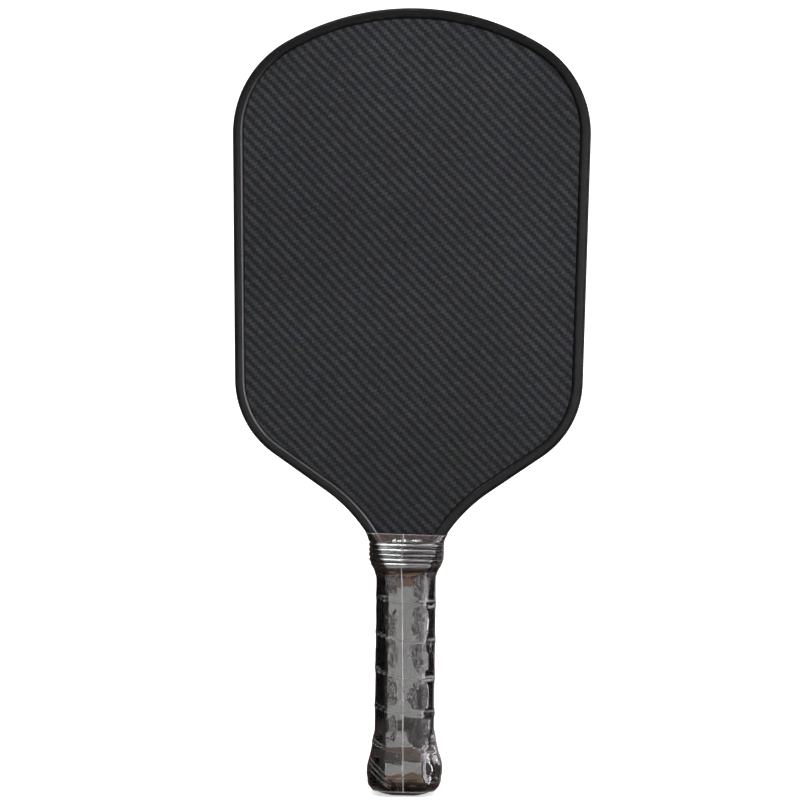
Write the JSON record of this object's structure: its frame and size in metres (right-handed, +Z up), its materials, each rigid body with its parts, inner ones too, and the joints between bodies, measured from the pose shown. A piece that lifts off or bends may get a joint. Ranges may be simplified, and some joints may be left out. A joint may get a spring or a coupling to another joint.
{
  "type": "pickleball paddle",
  "caption": "Pickleball paddle with a rounded carbon-weave honeycomb blade, an edge guard and a helically taped octagonal handle with a rubber collar and butt cap.",
  "frame": {"origin": "middle of the butt cap's flat end, at the bottom of the bounding box", "axes": "+Z up the handle to the tip of the head, +X across the face to the right seen from the front, +Y out of the rear face; the front face looks along -Y"},
  "size_m": [0.191, 0.0386, 0.4191],
  "materials": {
    "honeycomb_core": "milky natural polypropylene honeycomb, satin",
    "core_edge_foam": "closed-cell foam, matt cream",
    "front_core_veil": "thin non-woven polyester veil, matt off-white",
    "rear_core_veil": "thin non-woven polyester veil, matt off-white",
    "front_face_sheet": "twill carbon fibre in epoxy, satin, finely textured",
    "rear_face_sheet": "twill carbon fibre in epoxy, satin, finely textured",
    "edge_guard": "black moulded flexible plastic, satin",
    "edge_guard_tape": "double-sided adhesive tape, off-white",
    "butt_cap": "black moulded plastic, glossy",
    "butt_badge": "plain dark disc, glossy",
    "front_handle_block": "rigid polyurethane foam, matt tan",
    "rear_handle_block": "rigid polyurethane foam, matt tan",
    "front_cap_staple": "bright steel wire",
    "rear_cap_staple": "bright steel wire",
    "grip_adhesive_strip": "double-sided adhesive strip, cream",
    "grip_tape": "black synthetic cushion grip, satin, wound in a helix",
    "grip_finishing_tape": "black finishing tape, satin",
    "grip_collar": "black ribbed rubber, satin",
    "handle_film": "clear glossy protective film"
  },
  "bodies": {
    "root": {"honeycomb_core": "honeycomb_core", "core_edge_foam": "core_edge_foam", "front_core_veil": "front_core_veil", "rear_core_veil": "rear_core_veil", "front_face_sheet": "front_face_sheet", "rear_face_sheet": "rear_face_sheet", "edge_guard": "edge_guard", "edge_guard_tape": "edge_guard_tape", "butt_cap": "butt_cap", "butt_badge": "butt_badge", "front_handle_block": "front_handle_block", "rear_handle_block": "rear_handle_block", "front_cap_staple": "front_cap_staple", "rear_cap_staple": "rear_cap_staple", "grip_adhesive_strip": "grip_adhesive_strip", "grip_tape": "grip_tape", "grip_finishing_tape": "grip_finishing_tape", "grip_collar": "grip_collar", "handle_film": "handle_film"}
  },
  "joints": []
}
